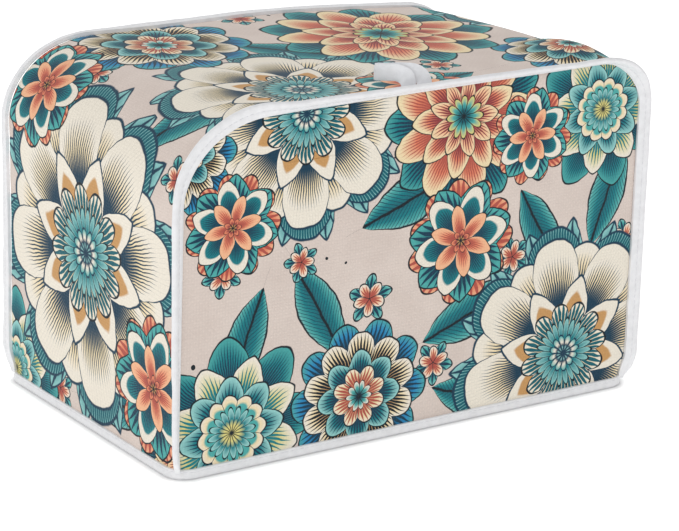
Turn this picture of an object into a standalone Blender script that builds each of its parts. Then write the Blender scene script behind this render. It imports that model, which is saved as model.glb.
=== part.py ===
"""Fitted cloth cover for a two-slice toaster.

A gusset strip runs up the left side, over the top and down the right side, between an arched front
panel and an arched back panel. White tape binds both seams as a standing fin, white tape is folded
over the bottom edge, and a short pull loop of tape is caught in the front top seam.

The cover stands on its hem at z = 0 with its middle over the origin: +X is the right-hand end,
-Y the front, +Z up. Metres throughout.
"""

import math

import bmesh
import bpy
from mathutils import Vector

# Cloth body, over the outside of the cloth
WIDTH = 0.284
DEPTH = 0.172
HEIGHT = 0.1835
CLOTH = 0.0020
LEFT_SHOULDER = (0.050, 0.043)  # reach across the top, reach down the side
RIGHT_SHOULDER = (0.029, 0.027)

# Edges where a panel meets the gusset: tight above, opened out round by the hem below
EDGE_RADIUS = 0.0030
HEM_EDGE_RADIUS = 0.0100
EDGE_OPENS_OVER = 0.014

# White tape
TAPE_THICKNESS = 0.0028
TAPE_STANDS = 0.0074
TAPE_ENDS_AT = 0.40  # share of its standing height that is left where it meets the hem
TAPE_TAPERS_OVER = 0.008
HEM_HEIGHT = 0.0050
HEM_OUTSIDE = 0.0014
HEM_INSIDE = 0.0010
HEM_CHAMFER = 0.0007

# Pull loop: a ribbon that stands up from the seam, turns to the left on its edge, folds and comes back
LOOP_WIDTH = 0.0088
LOOP_TAPE = 0.0013
LOOP_STEPS = 3
# The ribbon's way, in mm behind the seam, to the right and over the cloth, and the degrees that its
# face has turned from the front to the left
LOOP_KEYS = (
    (2.4, -7.7, 0.5, 0.0),
    (2.5, -7.8, 4.4, 2.0),
    (3.2, -9.3, 7.4, 12.0),
    (5.2, -12.7, 9.2, 30.0),
    (8.6, -16.9, 9.2, 40.0),
    (11.6, -20.3, 9.1, 48.0),
    (13.2, -20.9, 9.1, 128.0),
    (12.6, -18.5, 9.1, 212.0),
    (9.6, -14.5, 9.3, 218.0),
    (6.8, -9.5, 9.4, 206.0),
    (4.9, -2.7, 8.4, 190.0),
    (3.2, 1.8, 4.8, 182.0),
    (2.4, 2.3, 0.5, 180.0),
)

# Distance kept between neighbouring pieces
GAP = 0.0003

# How the empty cover settles
BACK_RIGHT_DROP = 0.0105
BACK_LEFT_SWELLS = 0.0055
FRONT_RIGHT_RIDGE = 0.0045
RIDGE_REACHES = 0.060  # from the front seam back over the right shoulder
RIDGE_STARTS = 0.5  # share of the half width
RIDGE_RISES_OVER = 0.3
TOP_SINKS = 0.0007
SIDES_BOW = 0.0016
PANELS_BOW = 0.0020

# Steps along the arch and over the sheets
SIDE_STEPS = 7
ROWS_CROWD_THE_HEM = 1.5
SHOULDER_STEPS = 6
TOP_STEPS = 10
EDGE_STEPS = 2
DEPTH_STEPS = 6
PANEL_BORDERS = (0.010, 0.024)  # rings of the panel inside its rounded edge
CORNER_STEPS = 5
HEM_SIDE_STEPS = 8

SLANT = math.sqrt(0.5)  # share of a length at 45 degrees that lies along either axis
SEAM_SHARE = 1 - SLANT  # share of an edge's radius at which its middle lies inside the corner

# How far the binding fin leans to the front (front seam) or to the back (back seam), in degrees,
# by its place along the arch: 0 at the left hem, 1 at the end of the left shoulder, 2 at the start
# of the right shoulder, 3 at the right hem.
LEAN_COLUMNS = ("place", "front_lean", "back_lean")
LEANS = (
    (0.00, 52.0, 92.0),
    (0.12, 44.0, 95.0),
    (0.32, 30.0, 100.0),
    (0.50, 25.0, 106.0),
    (0.72, 4.0, 112.0),
    (0.92, 8.0, 108.0),
    (1.10, 44.0, 94.0),
    (1.50, 53.0, 96.0),
    (1.85, 62.0, 92.0),
    (2.05, 68.0, 82.0),
    (2.25, 44.0, 70.0),
    (2.45, 5.0, 62.0),
    (3.00, 4.0, 74.0),
)


def smooth(value):
    """0 below 0, 1 above 1 and an even rise between."""
    t = min(max(value, 0.0), 1.0)
    return t * t * (3 - 2 * t)


def lean_at(place, column):
    """The fin's lean in radians at this place along the arch."""
    pick = LEAN_COLUMNS.index(column)
    for low, high in zip(LEANS, LEANS[1:]):
        if place <= high[0]:
            share = smooth((place - low[0]) / (high[0] - low[0]))
            return math.radians(low[pick] + share * (high[pick] - low[pick]))
    return math.radians(LEANS[-1][pick])


def settle(x, y, z):
    """Where a point of the sewn cover comes to lie once the empty cover stands by itself."""
    across = 2 * x / WIDTH
    along = 2 * y / DEPTH
    up = z / HEIGHT
    crown = max(0.0, 1 - across * across)
    span = max(0.0, 1 - along * along)
    waist = math.sin(math.pi * min(max(up, 0.0), 1.0))
    back = max((along + 1) / 2, 0.0)
    drop = BACK_RIGHT_DROP * max(across, 0.0) ** 1.5 * back**2 * up**3
    swell = BACK_LEFT_SWELLS * back * (max(-across, 0.0) * up) ** 3 * SLANT
    sink = TOP_SINKS * crown * span * up**4
    behind = min(max((y + DEPTH / 2) / RIDGE_REACHES, 0.0), 1.0)
    to_right = smooth((across - RIDGE_STARTS) / RIDGE_RISES_OVER)
    ridge = FRONT_RIGHT_RIDGE * math.sin(math.pi * behind) * to_right * up**4
    bow_x = SIDES_BOW * across * span * waist
    bow_y = PANELS_BOW * along * crown * waist
    return (x + bow_x - swell, y + bow_y, z - drop - sink + swell + ridge)


class Station:
    """A place on the arch: x and z of the cloth's outside, its outward normal and its place 0 to 3."""

    def __init__(self, x, z, normal_x, normal_z, place):
        self.x = x
        self.z = z
        self.normal_x = normal_x
        self.normal_z = normal_z
        self.place = place

    def edge_radius(self):
        """The radius in which a panel turns into the gusset here."""
        opened = 1 - smooth((self.z - HEM_HEIGHT) / EDGE_OPENS_OVER)
        return EDGE_RADIUS + (HEM_EDGE_RADIUS - EDGE_RADIUS) * opened

    def point(self, outward, y):
        """The settled point at this distance outside the arch and this depth."""
        x = self.x + outward * self.normal_x
        z = self.z + outward * self.normal_z
        return settle(x, y, z)


def side_stations(sign, shoulder):
    """From the top of the hem up one side and round its shoulder, without the top's first point."""
    reach_x, reach_z = shoulder
    foot = HEM_HEIGHT + GAP
    straight = HEIGHT - reach_z
    found = []
    for i in range(SIDE_STEPS):
        share = (i / SIDE_STEPS) ** ROWS_CROWD_THE_HEM
        z = foot + (straight - foot) * share
        found.append(Station(sign * WIDTH / 2, z, sign, 0.0, 0.5 * share))
    for i in range(SHOULDER_STEPS + 1):
        angle = math.pi / 2 * i / SHOULDER_STEPS
        x = sign * (WIDTH / 2 - reach_x * (1 - math.cos(angle)))
        z = straight + reach_z * math.sin(angle)
        normal = (reach_z * math.cos(angle), reach_x * math.sin(angle))
        length = math.hypot(*normal)
        place = 0.5 + 0.5 * i / SHOULDER_STEPS
        found.append(Station(x, z, sign * normal[0] / length, normal[1] / length, place))
    return found


def arch_stations():
    """The left side, the top and the right side, as one run from hem to hem."""
    left = side_stations(-1, LEFT_SHOULDER)
    right = side_stations(1, RIGHT_SHOULDER)
    start, end = left[-1].x, right[-1].x
    top = []
    for i in range(1, TOP_STEPS):
        share = i / TOP_STEPS
        top.append(Station(start + (end - start) * share, HEIGHT, 0.0, 1.0, 1 + share))
    for station in right:
        station.place = 3 - station.place
    return left + top + right[::-1]


def edge_section(radius, depth_in, angle):
    """(outward, inset from the face of the panel) on the rounded edge, at 0 on the gusset's face
    and at 90 degrees on the panel's face, this far inside the cloth's outer face."""
    inner = radius - depth_in
    return (inner * math.cos(angle) - radius, radius - inner * math.sin(angle))


def material(name, colour, roughness):
    made = bpy.data.materials.new(name)
    made.use_nodes = True
    shader = made.node_tree.nodes["Principled BSDF"]
    shader.inputs["Base Color"].default_value = (*colour, 1.0)
    shader.inputs["Roughness"].default_value = roughness
    shader.inputs["Metallic"].default_value = 0.0
    return made


def mesh_object(name, mesh_data, collection, finish):
    """A named object with its own mesh and material, from a filled bmesh."""
    bmesh.ops.recalc_face_normals(mesh_data, faces=mesh_data.faces[:])
    mesh = bpy.data.meshes.new(name)
    mesh_data.to_mesh(mesh)
    mesh_data.free()
    mesh.materials.append(finish)
    mesh.shade_smooth()
    mesh.set_sharp_from_angle(angle=math.radians(40))
    made = bpy.data.objects.new(name, mesh)
    collection.objects.link(made)
    return made


def grid_faces(rows):
    """Four-sided faces between neighbouring rows of point numbers, each row as long as the next."""
    faces = []
    for low, high in zip(rows, rows[1:]):
        for i in range(len(low) - 1):
            faces.append((low[i], low[i + 1], high[i + 1], high[i]))
    return faces


def sewn_sheet(mesh_data, outer_points, inner_points, faces):
    """A closed sheet of cloth from the points of its two faces, joined round its open edge."""
    outer = [mesh_data.verts.new(point) for point in outer_points]
    inner = [mesh_data.verts.new(point) for point in inner_points]
    steps = {(face[i - 1], face[i]) for face in faces for i in range(len(face))}
    for face in faces:
        mesh_data.faces.new([outer[i] for i in face])
        mesh_data.faces.new([inner[i] for i in reversed(face)])
    for first, second in sorted(steps):
        if (second, first) not in steps:
            mesh_data.faces.new((outer[second], outer[first], inner[first], inner[second]))


def gusset_section(station, depth_in):
    """(outward, y) across the gusset here, from the front seam to the back seam, on the cloth's
    outer face at a depth_in of 0 and on its inner face at CLOTH."""
    radius = station.edge_radius()
    clear = GAP / 2 / radius
    half = []
    for i in range(EDGE_STEPS + 1):
        angle = (math.pi / 4 - clear) * (1 - i / EDGE_STEPS)
        outward, inset = edge_section(radius, depth_in, angle)
        half.append((outward, inset - DEPTH / 2))
    straight = half[-1]
    inner = [(straight[0], straight[1] * (1 - 2 * i / DEPTH_STEPS)) for i in range(1, DEPTH_STEPS)]
    back = [(outward, -y) for outward, y in reversed(half)]
    return half + inner + back


def add_gusset(collection, finish, stations):
    count = len(gusset_section(stations[0], 0.0))
    rows = [range(count * i, count * (i + 1)) for i in range(len(stations))]
    layers = []
    for depth_in in (0.0, CLOTH):
        layers.append([s.point(*at) for s in stations for at in gusset_section(s, depth_in)])
    mesh_data = bmesh.new()
    sewn_sheet(mesh_data, *layers, grid_faces(rows))
    return mesh_object("gusset", mesh_data, collection, finish)


def panel_section(station, depth_in):
    """(outward, inset) from the panel's seam inwards to its last ring, at one station of the arch."""
    radius = station.edge_radius()
    clear = GAP / 2 / radius
    found = []
    for i in range(EDGE_STEPS + 1):
        angle = math.pi / 4 + clear + (math.pi / 4 - clear) * i / EDGE_STEPS
        found.append(edge_section(radius, depth_in, angle))
    return found + [(-radius - border, depth_in) for border in PANEL_BORDERS]


def panel_points(front, depth_in, stations):
    """One face of a panel: rings that follow the arch, then straight rows across their middle.
    front is 1 for the front panel and -1 for the back one."""
    found = []
    for station in stations:
        for outward, inset in panel_section(station, depth_in):
            found.append(station.point(outward, front * (inset - DEPTH / 2)))
    y = front * (depth_in - DEPTH / 2)
    for left, right in zip(stations[: SIDE_STEPS + SHOULDER_STEPS], stations[::-1]):
        ends = []
        for station in (left, right):
            outward = panel_section(station, depth_in)[-1][0]
            ends.append((station.x + outward * station.normal_x, station.z + outward * station.normal_z))
        for i in range(1, TOP_STEPS):
            share = i / TOP_STEPS
            x = ends[0][0] + (ends[1][0] - ends[0][0]) * share
            z = ends[0][1] + (ends[1][1] - ends[0][1]) * share
            found.append(settle(x, y, z))
    return found


def panel_faces(stations):
    """The faces of either side of a panel, as numbers into panel_points."""
    count = len(panel_section(stations[0], 0.0))
    rings = [range(count * i, count * (i + 1)) for i in range(len(stations))]
    border = [ring[-1] for ring in rings]
    side = SIDE_STEPS + SHOULDER_STEPS
    after_rings = count * len(stations)
    rows = []
    for i in range(side):
        start = after_rings + i * (TOP_STEPS - 1)
        rows.append([border[i], *range(start, start + TOP_STEPS - 1), border[-1 - i]])
    rows.append(border[side : side + TOP_STEPS + 1])
    return grid_faces(rings) + grid_faces(rows)


def add_panel(name, front, collection, finish, stations):
    mesh_data = bmesh.new()
    outer = panel_points(front, 0.0, stations)
    inner = panel_points(front, CLOTH, stations)
    sewn_sheet(mesh_data, outer, inner, panel_faces(stations))
    return mesh_object(name, mesh_data, collection, finish)


def loft(mesh_data, sections, closed):
    """Skins a run of sections with equally many points, and caps its ends unless it closes."""
    rings = [[mesh_data.verts.new(point) for point in section] for section in sections]
    pairs = list(zip(rings, rings[1:]))
    if closed:
        pairs.append((rings[-1], rings[0]))
    for low, high in pairs:
        count = len(low)
        for i in range(count):
            after = (i + 1) % count
            mesh_data.faces.new((low[i], low[after], high[after], high[i]))
    if not closed:
        mesh_data.faces.new(rings[0][::-1])
        mesh_data.faces.new(rings[-1])


def fin_section(station, front, lean):
    """The folded tape's round-ended section, standing off the seam at this station."""
    radius = station.edge_radius()
    half = TAPE_THICKNESS / 2
    off = (GAP + half) * SLANT
    base_out = off - SEAM_SHARE * radius
    base_in = SEAM_SHARE * radius - off
    shortened = TAPE_ENDS_AT + (1 - TAPE_ENDS_AT) * smooth((station.z - HEM_HEIGHT) / TAPE_TAPERS_OVER)
    length = TAPE_STANDS * shortened - TAPE_THICKNESS
    points = []
    for end, turn in ((length, -math.pi / 2), (0.0, math.pi / 2)):
        for i in range(4):
            angle = turn + math.pi * i / 3
            along = end + half * math.cos(angle)
            aside = half * math.sin(angle)
            outward = base_out + along * math.cos(lean) - aside * math.sin(lean)
            ahead = along * math.sin(lean) + aside * math.cos(lean) - base_in
            points.append(station.point(outward, front * (-DEPTH / 2 - ahead)))
    return points


def add_seam_binding(name, front, column, collection, finish, stations):
    mesh_data = bmesh.new()
    sections = [fin_section(s, front, lean_at(s.place, column)) for s in stations]
    loft(mesh_data, sections, closed=False)
    return mesh_object(name, mesh_data, collection, finish)


def hem_path():
    """(x, y, normal x, normal y) round the cloth's outside at the hem, anticlockwise from above."""
    half_x, half_y = WIDTH / 2 - HEM_EDGE_RADIUS, DEPTH / 2 - HEM_EDGE_RADIUS
    found = []
    for quarter, (sign_x, sign_y) in enumerate(((1, 1), (-1, 1), (-1, -1), (1, -1))):
        turns = [math.pi / 2 * (quarter + i / CORNER_STEPS) for i in range(CORNER_STEPS + 1)]
        for turn in turns:
            x = sign_x * half_x + HEM_EDGE_RADIUS * math.cos(turn)
            y = sign_y * half_y + HEM_EDGE_RADIUS * math.sin(turn)
            found.append((x, y, math.cos(turn), math.sin(turn)))
        span = 2 * (half_x if quarter % 2 == 0 else half_y)
        x, y, normal_x, normal_y = found[-1]
        for i in range(1, HEM_SIDE_STEPS):
            step = span * i / HEM_SIDE_STEPS
            found.append((x - normal_y * step, y + normal_x * step, normal_x, normal_y))
    return found


def hem_section(x, y, normal_x, normal_y):
    """The folded tape round the cloth's bottom edge, flat where it stands."""
    inner, outer = -CLOTH - HEM_INSIDE, HEM_OUTSIDE
    low, high = HEM_CHAMFER, HEM_HEIGHT - HEM_CHAMFER
    profile = (
        (inner, low),
        (inner + HEM_CHAMFER, 0.0),
        (outer - HEM_CHAMFER, 0.0),
        (outer, low),
        (outer, high),
        (outer - HEM_CHAMFER, HEM_HEIGHT),
        (inner + HEM_CHAMFER, HEM_HEIGHT),
        (inner, high),
    )
    return [settle(x + off * normal_x, y + off * normal_y, z) for off, z in profile]


def add_hem(collection, finish):
    mesh_data = bmesh.new()
    loft(mesh_data, [hem_section(*at) for at in hem_path()], closed=True)
    return mesh_object("hem_binding", mesh_data, collection, finish)


def loop_path():
    """(behind, x, height, face) along the middle of the ribbon, on a smooth curve through its keys."""
    found = []
    last = len(LOOP_KEYS) - 1
    for i in range(last):
        before, start = LOOP_KEYS[max(i - 1, 0)], LOOP_KEYS[i]
        end, after = LOOP_KEYS[i + 1], LOOP_KEYS[min(i + 2, last)]
        for step in range(LOOP_STEPS):
            t = step / LOOP_STEPS
            row = []
            for p0, p1, p2, p3 in zip(before, start, end, after):
                curve = 2 * p1 + (p2 - p0) * t + (2 * p0 - 5 * p1 + 4 * p2 - p3) * t**2
                row.append((curve + (3 * p1 - p0 - 3 * p2 + p3) * t**3) / 2)
            found.append(row)
    return found + [list(LOOP_KEYS[-1])]


def loop_section(points, index):
    """The ribbon's flat section square to its path, with its face upright."""
    before = points[max(index - 1, 0)]
    after = points[min(index + 1, len(points) - 1)]
    behind, x, height, face = points[index]
    along = Vector((after[1] - before[1], after[0] - before[0], after[2] - before[2])).normalized()
    turned = math.radians(face)
    across = Vector((-math.sin(turned), -math.cos(turned), 0)).cross(along).normalized()
    off = across.cross(along)
    middle = Vector((x / 1000, behind / 1000 - DEPTH / 2, HEIGHT + height / 1000))
    section = []
    for wide, thick in ((-1, -1), (1, -1), (1, 1), (-1, 1)):
        corner = middle + across * (wide * LOOP_WIDTH / 2) + off * (thick * LOOP_TAPE / 2)
        section.append(settle(*corner))
    return section


def add_loop(collection, finish):
    mesh_data = bmesh.new()
    points = loop_path()
    loft(mesh_data, [loop_section(points, i) for i in range(len(points))], closed=False)
    return mesh_object("pull_loop", mesh_data, collection, finish)


def main():
    for found in list(bpy.data.objects):
        bpy.data.objects.remove(found, do_unlink=True)
    collection = bpy.data.collections.new("toaster_cover")
    bpy.context.scene.collection.children.link(collection)
    stations = arch_stations()
    printed = material("printed_cloth", (0.62, 0.55, 0.50), 0.88)
    back_printed = material("back_printed_cloth", (0.60, 0.54, 0.49), 0.88)
    side_printed = material("side_printed_cloth", (0.45, 0.50, 0.49), 0.88)
    tape = material("white_tape", (0.80, 0.80, 0.82), 0.75)
    back_tape = material("back_white_tape", (0.80, 0.80, 0.82), 0.75)
    hem_tape = material("hem_white_tape", (0.78, 0.78, 0.80), 0.75)
    loop_tape = material("loop_white_tape", (0.82, 0.82, 0.84), 0.72)
    add_gusset(collection, side_printed, stations)
    add_panel("front_panel", 1, collection, printed, stations)
    add_panel("back_panel", -1, collection, back_printed, stations)
    add_seam_binding("front_binding", 1, "front_lean", collection, tape, stations)
    add_seam_binding("back_binding", -1, "back_lean", collection, back_tape, stations)
    add_hem(collection, hem_tape)
    add_loop(collection, loop_tape)


main()
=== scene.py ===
"""Studio scene of the toaster cover: printed cloth, white tape, stitching, floor, light and camera."""

import math

import bpy
from mathutils import Matrix, Vector, noise


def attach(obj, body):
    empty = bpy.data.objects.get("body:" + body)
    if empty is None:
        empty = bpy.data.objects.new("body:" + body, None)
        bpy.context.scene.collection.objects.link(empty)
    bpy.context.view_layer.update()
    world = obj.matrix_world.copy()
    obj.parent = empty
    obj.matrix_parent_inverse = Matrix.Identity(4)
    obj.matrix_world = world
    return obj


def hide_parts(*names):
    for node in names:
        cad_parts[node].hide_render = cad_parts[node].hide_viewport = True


# Cloth body, over the outside of the cloth, in metres
WIDTH = 0.284
DEPTH = 0.172
HEIGHT = 0.1835
CLOTH = 0.0020
LEFT_SHOULDER = (0.050, 0.043)  # reach across the top, reach down the side
RIGHT_SHOULDER = (0.029, 0.027)
EDGE_RADIUS = 0.0030
HEM_EDGE_RADIUS = 0.0100
EDGE_OPENS_OVER = 0.014
SEAM_SHARE = 1 - math.sqrt(0.5)

# White tape
TAPE_THICKNESS = 0.0028
TAPE_STANDS = 0.0074
TAPE_ENDS_AT = 0.0010  # standing length of its end, which the hem covers
TAPE_TAPERS_OVER = 0.006
TAPE_FOOT = 0.0038  # inside the hem
TAPE_COVERS = 0.0018  # how far the tape reaches in over the turned-out cloth
HEM_HEIGHT = 0.0052
HEM_OUTSIDE = 0.0014
HEM_INSIDE = 0.0010
CLOTH_FOOT = 0.0024  # the cloth's bottom edge, inside the folded tape
GAP = 0.0003

# How the empty cover settles
BACK_RIGHT_DROP = 0.0105
BACK_LEFT_SWELLS = 0.0055
FRONT_RIGHT_RIDGE = 0.0045
RIDGE_REACHES = 0.060  # from the front seam back over the right shoulder
RIDGE_STARTS = 0.5
RIDGE_RISES_OVER = 0.3
TOP_SINKS = 0.0007
SIDES_BOW = 0.0016
PANELS_BOW = 0.0020

# Steps over the sheets
SIDE_STEPS = 48
ROWS_CROWD_THE_HEM = 1.25
SHOULDER_STEPS = 22
TOP_STEPS = 64
EDGE_STEPS = 4
DEPTH_STEPS = 60
PANEL_BORDERS = [0.002 * i for i in range(1, 13)]
HEM_CORNER_STEPS = 10
HEM_SIDE_STEPS = 60

# Pull loop, a ribbon with its face upright: mm behind the seam, to the right and over the cloth, and
# the degrees that its face turns from front to left
LOOP_WIDTH = 0.0088
LOOP_TAPE = 0.0009
LOOP_STEPS = 10
LOOP_RIPPLE = 0.00035
LOOP_EDGE = ((-1, 0.35), (-0.9, 0.75), (-0.55, 1.0), (-0.2, 1.0))  # across, share of its thickness
LOOP_KEYS = (
    (1.6, -7.7, -1.0, 0.0),
    (2.5, -7.8, 4.4, 2.0),
    (3.2, -9.3, 7.4, 12.0),
    (5.2, -12.7, 9.2, 30.0),
    (8.6, -16.9, 9.2, 40.0),
    (11.6, -20.3, 9.1, 48.0),
    (13.2, -20.9, 9.1, 128.0),
    (12.6, -18.5, 9.1, 212.0),
    (9.6, -14.5, 9.3, 218.0),
    (6.8, -9.5, 9.4, 206.0),
    (4.9, -2.7, 8.4, 190.0),
    (3.2, 1.8, 4.8, 182.0),
    (1.6, 2.3, -1.0, 180.0),
)

# The fin's lean in degrees, by its place along the arch (0 to 3)
LEAN_COLUMNS = ("place", "front_lean", "back_lean")
LEANS = (
    (0.00, 52.0, 92.0),
    (0.12, 44.0, 95.0),
    (0.32, 30.0, 100.0),
    (0.50, 25.0, 106.0),
    (0.72, 4.0, 112.0),
    (0.92, 8.0, 108.0),
    (1.10, 44.0, 94.0),
    (1.50, 53.0, 96.0),
    (1.85, 62.0, 92.0),
    (2.05, 68.0, 82.0),
    (2.25, 44.0, 70.0),
    (2.45, 5.0, 62.0),
    (3.00, 4.0, 74.0),
)

# The fin's section up one side: share of its length, half thickness
FIN_ROWS = (
    (0.07, 0.00140),
    (0.20, 0.00136),
    (0.32, 0.00108),
    (0.43, 0.00134),
    (0.62, 0.00142),
    (0.82, 0.00136),
    (0.93, 0.00100),
    (1.00, 0.00040),
)

# The fin's foot over the seam: distance from the seam, half thickness
FIN_FOOT = (
    (-TAPE_COVERS, 0.00085),
    (-0.0007, 0.00115),
)
FIN_SEEDS = {1: 11.0, -1: 17.0}  # front, back
SWAY = ((5.0, 42, 0.0), (2.5, 120, 2.0))  # degrees, waves along the seam, where the noise is read
GROWS = 0.05  # share of the fin's length by which it varies
GROW_WAVES = 65

# Stitching
STITCH = 0.0022
STITCH_EVERY = 0.0031
STITCH_THICK = 0.00042
STITCH_SIDES = 6
STITCH_ROWS = ((-0.5, 0.35), (-0.34, 0.85), (0.0, 1.0), (0.34, 0.85), (0.5, 0.35))  # place, thickness
STITCHES_START = 0.010  # from either end of a seam
SEAM_LINE_AT = 0.0019  # from the seam up the fin
SEAM_LINE_FACE = 0.00112  # from the fin's middle to the thread
HEM_LINE_AT = 0.0040  # height of the hem's stitching
HEM_LINE_DIP = 0.0004

# The hem's section: from which face of the tape, by how much, from which level, by how much
HEM_ROWS = (
    ("inner", 0.0, "foot", 0.0007),
    ("inner", 0.0008, "foot", 0.0),
    ("outer", -0.0008, "foot", 0.0),
    ("outer", -0.0001, "foot", 0.0006),
    ("outer", 0.0, "foot", 0.0016),
    ("outer", -0.00005, "line", -0.0007),
    ("outer", -HEM_LINE_DIP, "line", 0.0),
    ("outer", -0.0001, "line", 0.0006),
    ("outer", -0.0004, "top", 0.0),
    ("outer", -0.0016, "top", 0.0001),
    ("inner", 0.0006, "top", 0.0),
    ("inner", 0.0, "top", -0.0006),
)
HEM_UNEVEN = 0.00022
HEM_WAVES = 60

# The cloth's low relief, in metres, with its waves a metre
PUCKER_DEPTH = 0.00030
PUCKER_REACH = 0.0065
PUCKER_WAVES = (95, 210)
SOFT_WAVE = 0.00055
SOFT_WAVE_STARTS = 0.03
FINE_WAVE = 0.00016
FINE_WAVE_STARTS = 0.02
PANEL_WAVE = 0.0006
GUSSET_BACK_STARTS = 0.07  # beyond this y the gusset's puckers are the back seam's

# Camera: angles in degrees, distance in metres, the rest in the image's pixels
IMAGE_SIZE = (679, 531)
CAMERA_YAW = -34.19
CAMERA_PITCH = 17.21
CAMERA_ROLL = 1.65
CAMERA_DISTANCE = 1.75
CAMERA_PIXELS = 3299
CAMERA_MIDDLE = (323.8, 203.7)
CAMERA_TARGET = Vector((0.0, 0.0, 0.1))
SENSOR_WIDTH = 36.0

# Light
WORLD_LIGHT = 0.66
FLOOR_GLOW = 0.5
CONTACT_SHADE = 0.004  # width of the painted contact shadow, a dark line where the hem meets the floor


# Shape


def smooth(value):
    t = min(max(value, 0.0), 1.0)
    return t * t * (3 - 2 * t)


def wave(*at):
    """Smooth noise from -1 to 1."""
    return noise.noise(Vector(at))


def lean_at(place, column):
    pick = LEAN_COLUMNS.index(column)
    for low, high in zip(LEANS, LEANS[1:]):
        if place <= high[0]:
            share = smooth((place - low[0]) / (high[0] - low[0]))
            return math.radians(low[pick] + share * (high[pick] - low[pick]))
    return math.radians(LEANS[-1][pick])


def settle(x, y, z):
    across = 2 * x / WIDTH
    along = 2 * y / DEPTH
    up = z / HEIGHT
    crown = max(0.0, 1 - across * across)
    span = max(0.0, 1 - along * along)
    waist = math.sin(math.pi * min(max(up, 0.0), 1.0))
    back = max((along + 1) / 2, 0.0)
    high = max(up, 0.0)
    drop = BACK_RIGHT_DROP * max(across, 0.0) ** 1.5 * back**2 * high**3
    swell = BACK_LEFT_SWELLS * back * (max(-across, 0.0) * high) ** 3 * math.sqrt(0.5)
    sink = TOP_SINKS * crown * span * up**4
    behind = min(max((y + DEPTH / 2) / RIDGE_REACHES, 0.0), 1.0)
    to_right = smooth((across - RIDGE_STARTS) / RIDGE_RISES_OVER)
    ridge = FRONT_RIGHT_RIDGE * math.sin(math.pi * behind) * to_right * high**4
    bow_x = SIDES_BOW * across * span * waist
    bow_y = PANELS_BOW * along * crown * waist
    return Vector((x + bow_x - swell, y + bow_y, z - drop - sink + swell + ridge))


class Station:
    """A place on the arch."""

    def __init__(self, x, z, normal_x, normal_z, place, run=0.0):
        self.x = x
        self.z = z
        self.normal_x = normal_x
        self.normal_z = normal_z
        self.place = place
        self.run = run

    def edge_radius(self):
        opened = 1 - smooth((self.z - HEM_HEIGHT) / EDGE_OPENS_OVER)
        return EDGE_RADIUS + (HEM_EDGE_RADIUS - EDGE_RADIUS) * opened

    def flat(self, outward):
        return (self.x + outward * self.normal_x, self.z + outward * self.normal_z)

    def point(self, outward, y):
        x, z = self.flat(outward)
        return settle(x, y, z)


def side_stations(sign, shoulder, foot):
    reach_x, reach_z = shoulder
    straight = HEIGHT - reach_z
    found = []
    for i in range(SIDE_STEPS):
        share = (i / SIDE_STEPS) ** ROWS_CROWD_THE_HEM
        z = foot + (straight - foot) * share
        found.append(Station(sign * WIDTH / 2, z, sign, 0.0, 0.5 * share))
    for i in range(SHOULDER_STEPS + 1):
        angle = math.pi / 2 * i / SHOULDER_STEPS
        x = sign * (WIDTH / 2 - reach_x * (1 - math.cos(angle)))
        z = straight + reach_z * math.sin(angle)
        normal = (reach_z * math.cos(angle), reach_x * math.sin(angle))
        length = math.hypot(*normal)
        place = 0.5 + 0.5 * i / SHOULDER_STEPS
        found.append(Station(x, z, sign * normal[0] / length, normal[1] / length, place))
    return found


def arch_stations(foot):
    """The left side, the top and the right side, as one run from hem to hem."""
    left = side_stations(-1, LEFT_SHOULDER, foot)
    right = side_stations(1, RIGHT_SHOULDER, foot)
    start, end = left[-1].x, right[-1].x
    top = []
    for i in range(1, TOP_STEPS):
        share = i / TOP_STEPS
        top.append(Station(start + (end - start) * share, HEIGHT, 0.0, 1.0, 1 + share))
    for station in right:
        station.place = 3 - station.place
    found = left + top + right[::-1]
    for before, after in zip(found, found[1:]):
        after.run = before.run + math.hypot(after.x - before.x, after.z - before.z)
    return found


def station_at(stations, run):
    """The station at this distance along the arch."""
    for low, high in zip(stations, stations[1:]):
        if run <= high.run:
            t = (run - low.run) / (high.run - low.run)
            ends = [(s.x, s.z, s.normal_x, s.normal_z, s.place) for s in (low, high)]
            return Station(*[a + (b - a) * t for a, b in zip(*ends)], run)
    return stations[-1]


def edge_section(radius, depth_in, angle):
    inner = radius - depth_in
    return (inner * math.cos(angle) - radius, radius - inner * math.sin(angle))


def cloth_relief(run, from_seam, seed):
    """How far the cloth stands out of its plain form: it dips at the seam, puckers a little beside
    it and waves very softly elsewhere."""
    near = math.exp(-from_seam / PUCKER_REACH)
    broad, narrow = PUCKER_WAVES
    gathers = 0.5 + 0.9 * wave(run * broad, seed, 0.0) + 0.5 * wave(run * narrow, seed, 4.0)
    soft = wave(run * 13, from_seam * 15, seed) * SOFT_WAVE * smooth(from_seam / SOFT_WAVE_STARTS)
    soft += wave(run * 34, from_seam * 40, seed + 7) * FINE_WAVE * smooth(from_seam / FINE_WAVE_STARTS)
    return soft - PUCKER_DEPTH * near * max(0.0, gathers)


def gusset_section(station):
    """(angle round the edge, y laid flat) across the gusset at one station."""
    radius = station.edge_radius()
    clear = GAP / 2 / radius
    half = []
    for i in range(EDGE_STEPS + 1):
        angle = (math.pi / 4 - clear) * (1 - i / EDGE_STEPS)
        half.append((angle, radius - DEPTH / 2 - radius * angle))
    span = DEPTH / 2 - radius
    middle = [(0.0, -span + 2 * span * i / DEPTH_STEPS) for i in range(1, DEPTH_STEPS)]
    back = [(-angle, -flat) for angle, flat in reversed(half)]
    return half + middle + back


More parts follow.
